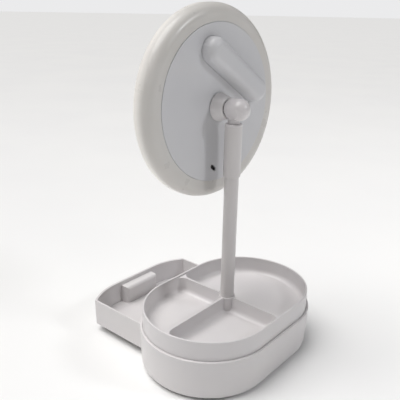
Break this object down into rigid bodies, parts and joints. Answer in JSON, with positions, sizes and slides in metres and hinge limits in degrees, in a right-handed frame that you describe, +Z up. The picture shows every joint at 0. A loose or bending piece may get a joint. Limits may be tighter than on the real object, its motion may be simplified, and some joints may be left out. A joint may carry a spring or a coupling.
{
  "type": "extendable mirror",
  "caption": "Lit round shaving mirror on a telescopic pole, with a tilting and turning head, above a divided tray base with a drawer.",
  "frame": {"origin": "centre of the obround base, on the surface it stands on", "axes": "+Z up along the pole; the mirror looks along -Y and the drawer opens along -Y; X along the long side of the base"},
  "size_m": [0.2054, 0.2148, 0.3576],
  "materials": {
    "case_white": "satin moulded ABS",
    "pole_white": "satin powder coat",
    "knuckle_white": "satin moulded ABS",
    "opal": "opal diffusing acrylic",
    "mirror": "silvered glass",
    "rubber_grey": "matte",
    "nylon": "natural nylon",
    "steel": "zinc plated",
    "stud_steel": "polished",
    "tape": "foam",
    "board_green": "solder mask",
    "board_white": "solder mask",
    "led": "phosphor",
    "cell_wrap": "shrink wrap",
    "contact": "nickel plated",
    "socket_steel": "tin plated",
    "copper": "copper foil"
  },
  "bodies": {
    "base": {"base_bowl": "case_white", "foot_ring": "rubber_grey", "ballast_plate": "steel", "tray": "case_white", "case_screws": "steel", "lower_pole": "pole_white", "pole_plug": "nylon", "pole_washer": "steel", "pole_screw": "steel", "pole_top_guide": "nylon"},
    "drawer": {"drawer": "case_white"},
    "sleeve": {"sleeve_tube": "pole_white", "sleeve_bush": "pole_white", "sleeve_cap": "knuckle_white"},
    "knuckle": {"knuckle_housing": "knuckle_white", "ball_seat_cup": "nylon", "seat_spring_washer": "steel", "ball_retaining_ring": "nylon", "swivel_washer": "steel", "swivel_screw": "steel"},
    "head": {"ball_stud": "stud_steel", "socket_cone": "case_white", "stud_nut_plate": "steel", "stud_nut": "steel", "light_ring": "opal", "mirror_glass": "mirror", "mirror_tape": "tape", "inner_frame": "case_white", "head_screws": "steel", "led_board": "board_white", "led_chips": "led", "back_cover": "case_white", "battery_cover": "case_white", "battery_cell": "cell_wrap", "battery_contacts": "contact", "driver_board": "board_green", "board_screws": "steel", "charging_socket": "socket_steel", "touch_pad": "copper"}
  },
  "joints": [
    {"name": "drawer_slide", "type": "slide", "parent": "base", "child": "drawer", "axis": [0, -1, 0], "range_m": [-0.0746, 0]},
    {"name": "pole_extension", "type": "slide", "parent": "base", "child": "sleeve", "axis": [0, 0, 1], "range_m": [-0.0145, 0.014]},
    {"name": "head_swivel", "type": "hinge", "parent": "sleeve", "child": "knuckle", "pos_m": [0, -0.001, 0.2614], "axis": [0, 0, 1], "continuous": true},
    {"name": "head_tilt", "type": "hinge", "parent": "knuckle", "child": "head", "pos_m": [0, -0.001, 0.2614], "axis": [-0.9988, 0.0489, 0], "range_deg": [-3, 30]}
  ]
}
